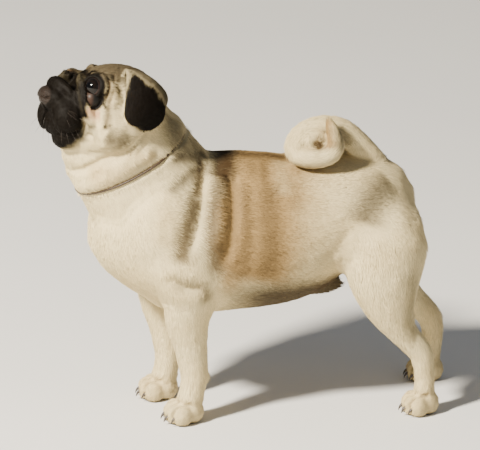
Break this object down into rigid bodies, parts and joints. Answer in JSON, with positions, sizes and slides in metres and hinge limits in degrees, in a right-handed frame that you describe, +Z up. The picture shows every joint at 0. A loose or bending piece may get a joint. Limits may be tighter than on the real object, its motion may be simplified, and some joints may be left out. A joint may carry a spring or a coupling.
{
  "type": "pug",
  "caption": "Standing pug, a short-coated small dog with a raised wrinkled face, folded ears, a tail curled over its back and a thin collar.",
  "frame": {"origin": "middle of the dog's length and width, on the floor under its soles", "axes": "+Z up, +X from the head towards the tail along the body's length, +Y towards the dog's right side"},
  "size_m": [0.459, 0.1794, 0.3994],
  "materials": {
    "coat_pale": "short smooth coat, pale cream",
    "coat_fawn": "short smooth coat, fawn",
    "coat_mask": "short smooth coat, fawn with a black mask",
    "ear_velvet": "very short black hair",
    "eye": "wet and glossy",
    "claw": "smooth horn",
    "collar_leather": "worn smooth"
  },
  "bodies": {
    "root": {"head": "coat_mask", "neck": "coat_pale", "torso": "coat_fawn", "tail_base": "coat_pale", "tail_curl": "coat_pale", "tail_tip": "coat_pale", "eye_left": "eye", "eye_right": "eye", "ear_left": "ear_velvet", "ear_right": "ear_velvet", "collar": "collar_leather", "fore_left_leg": "coat_pale", "fore_left_paw": "coat_pale", "fore_left_claw_1": "claw", "fore_left_claw_2": "claw", "fore_left_claw_3": "claw", "fore_left_claw_4": "claw", "fore_right_leg": "coat_pale", "fore_right_paw": "coat_pale", "fore_right_claw_1": "claw", "fore_right_claw_2": "claw", "fore_right_claw_3": "claw", "fore_right_claw_4": "claw", "hind_left_leg": "coat_pale", "hind_left_paw": "coat_pale", "hind_left_claw_1": "claw", "hind_left_claw_2": "claw", "hind_left_claw_3": "claw", "hind_left_claw_4": "claw", "hind_right_leg": "coat_pale", "hind_right_paw": "coat_pale", "hind_right_claw_1": "claw", "hind_right_claw_2": "claw", "hind_right_claw_3": "claw", "hind_right_claw_4": "claw"}
  },
  "joints": []
}
